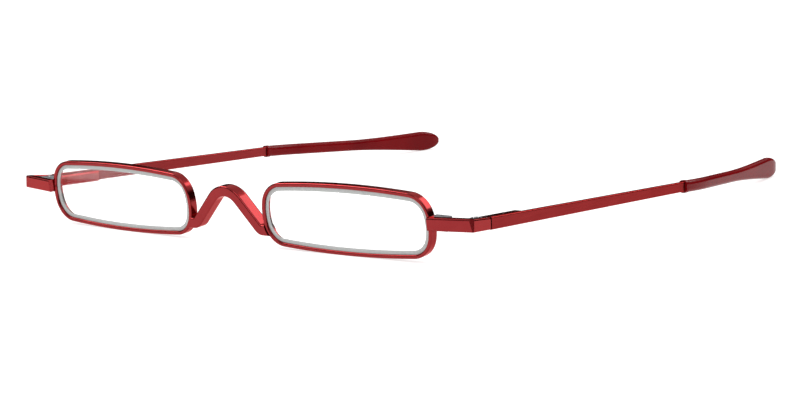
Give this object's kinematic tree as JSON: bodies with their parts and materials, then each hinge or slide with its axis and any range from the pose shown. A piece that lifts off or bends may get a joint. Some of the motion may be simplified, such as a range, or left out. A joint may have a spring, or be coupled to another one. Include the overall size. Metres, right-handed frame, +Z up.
{
  "type": "folding reading glasses",
  "caption": "Slim full-rim reading glasses with low rounded lenses, a saddle bridge, sprung hinges and straight temples that fold flat behind the front.",
  "frame": {"origin": "centre of the box at the level that the rims and the temple tips stand on, temples open", "axes": "+X to the wearer's left, +Y back along the open temples, +Z up from the surface that the glasses stand on"},
  "size_m": [0.1314, 0.1258, 0.0148],
  "materials": {
    "red_metal": "red anodised, satin to glossy, with bright edges",
    "grey_metal": "bare nickel silver, lightly brushed",
    "screw_steel": "polished steel screw heads",
    "spring_steel": "drawn spring wire",
    "lens_glass": "clear and polished, with a ground edge",
    "tip_plastic": "deep red, glossy and slightly translucent"
  },
  "bodies": {
    "front": {"bridge": "red_metal", "left_rim": "red_metal", "left_lens": "lens_glass", "left_upper_closing_block": "grey_metal", "left_lower_closing_block": "grey_metal", "left_rim_screw": "screw_steel", "left_end_piece": "red_metal", "left_front_hinge": "grey_metal", "left_hinge_screw": "screw_steel", "right_rim": "red_metal", "right_lens": "lens_glass", "right_upper_closing_block": "grey_metal", "right_lower_closing_block": "grey_metal", "right_rim_screw": "screw_steel", "right_end_piece": "red_metal", "right_front_hinge": "grey_metal", "right_hinge_screw": "screw_steel"},
    "left_slider": {"left_hinge_slider": "grey_metal", "left_spring_stop": "grey_metal"},
    "left_temple": {"left_spring_housing": "red_metal", "left_guide_bush": "grey_metal", "left_hinge_spring": "spring_steel", "left_temple_bar": "red_metal", "left_temple_tip": "tip_plastic"},
    "right_slider": {"right_hinge_slider": "grey_metal", "right_spring_stop": "grey_metal"},
    "right_temple": {"right_spring_housing": "red_metal", "right_guide_bush": "grey_metal", "right_hinge_spring": "spring_steel", "right_temple_bar": "red_metal", "right_temple_tip": "tip_plastic"}
  },
  "joints": [
    {"name": "left_temple_fold", "type": "hinge", "parent": "front", "child": "left_slider", "pos_m": [0.06245, -0.05479, 0.00796], "axis": [-0.0037, 0.0382, 0.9993], "range_deg": [-6, 85.4]},
    {"name": "left_spring_slide", "type": "slide", "parent": "left_slider", "child": "left_temple", "axis": [-0.0298, 0.9988, -0.0383], "range_m": [0, 0.0012], "stiffness_N_per_m": 2000, "springref_m": -0.001, "deforming": ["left_hinge_spring"]},
    {"name": "right_temple_fold", "type": "hinge", "parent": "front", "child": "right_slider", "pos_m": [-0.06245, -0.05479, 0.00796], "axis": [-0.0037, -0.0382, -0.9993], "range_deg": [-6, 81]},
    {"name": "right_spring_slide", "type": "slide", "parent": "right_slider", "child": "right_temple", "axis": [0.0298, 0.9988, -0.0383], "range_m": [0, 0.0012], "stiffness_N_per_m": 2000, "springref_m": -0.001, "deforming": ["right_hinge_spring"]}
  ]
}
